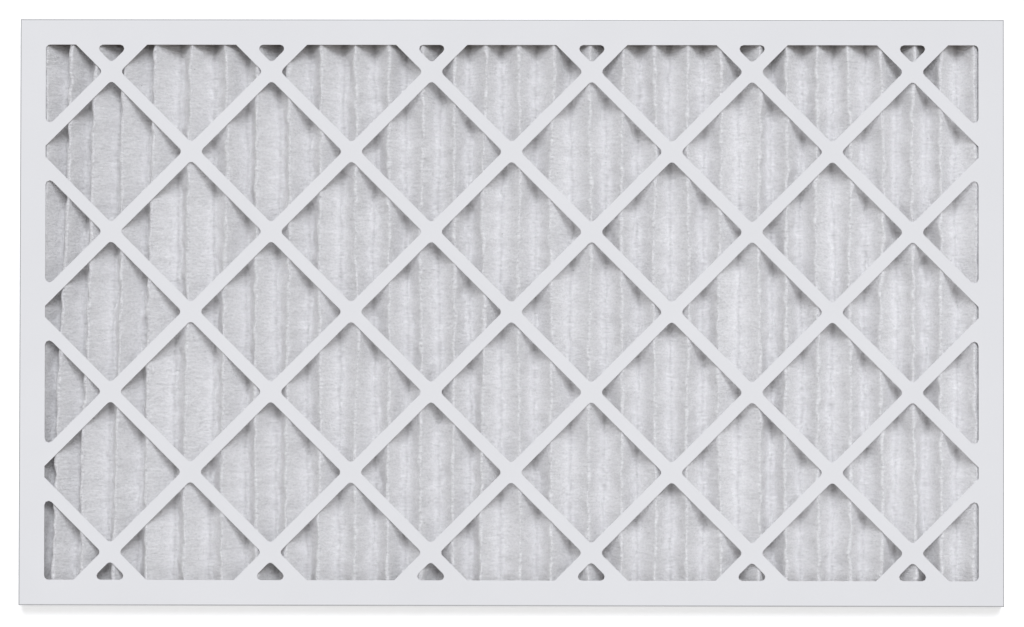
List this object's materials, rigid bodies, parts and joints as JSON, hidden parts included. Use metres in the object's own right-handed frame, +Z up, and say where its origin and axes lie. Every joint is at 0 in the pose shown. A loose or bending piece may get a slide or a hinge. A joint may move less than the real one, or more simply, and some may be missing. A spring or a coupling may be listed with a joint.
{
  "type": "pleated panel air filter",
  "caption": "Shallow rectangular panel air filter: white pleated nonwoven on expanded metal, sealed in a folded board frame with a diagonal lattice on both faces.",
  "frame": {"origin": "centre of the bounding box in plan, at the plane of the air-leaving face on which the filter lies", "axes": "+Z is up through the depth towards the air-entering face, X runs along the long side and across the pleats, Y along the short side and the pleats"},
  "size_m": [0.6286, 0.3746, 0.0191],
  "materials": {
    "frame_board": "white moisture-proof board, smooth and matt",
    "filter_media": "white needled nonwoven with fine fibres",
    "backing_metal": "galvanised expanded metal",
    "seal_glue": "milky hot-melt glue"
  },
  "bodies": {
    "root": {"front_frame": "frame_board", "rear_frame": "frame_board", "pleated_media": "filter_media", "expanded_metal_backing": "backing_metal", "end_seal_top": "seal_glue", "end_seal_bottom": "seal_glue", "side_seal_left": "seal_glue", "side_seal_right": "seal_glue"}
  },
  "joints": []
}
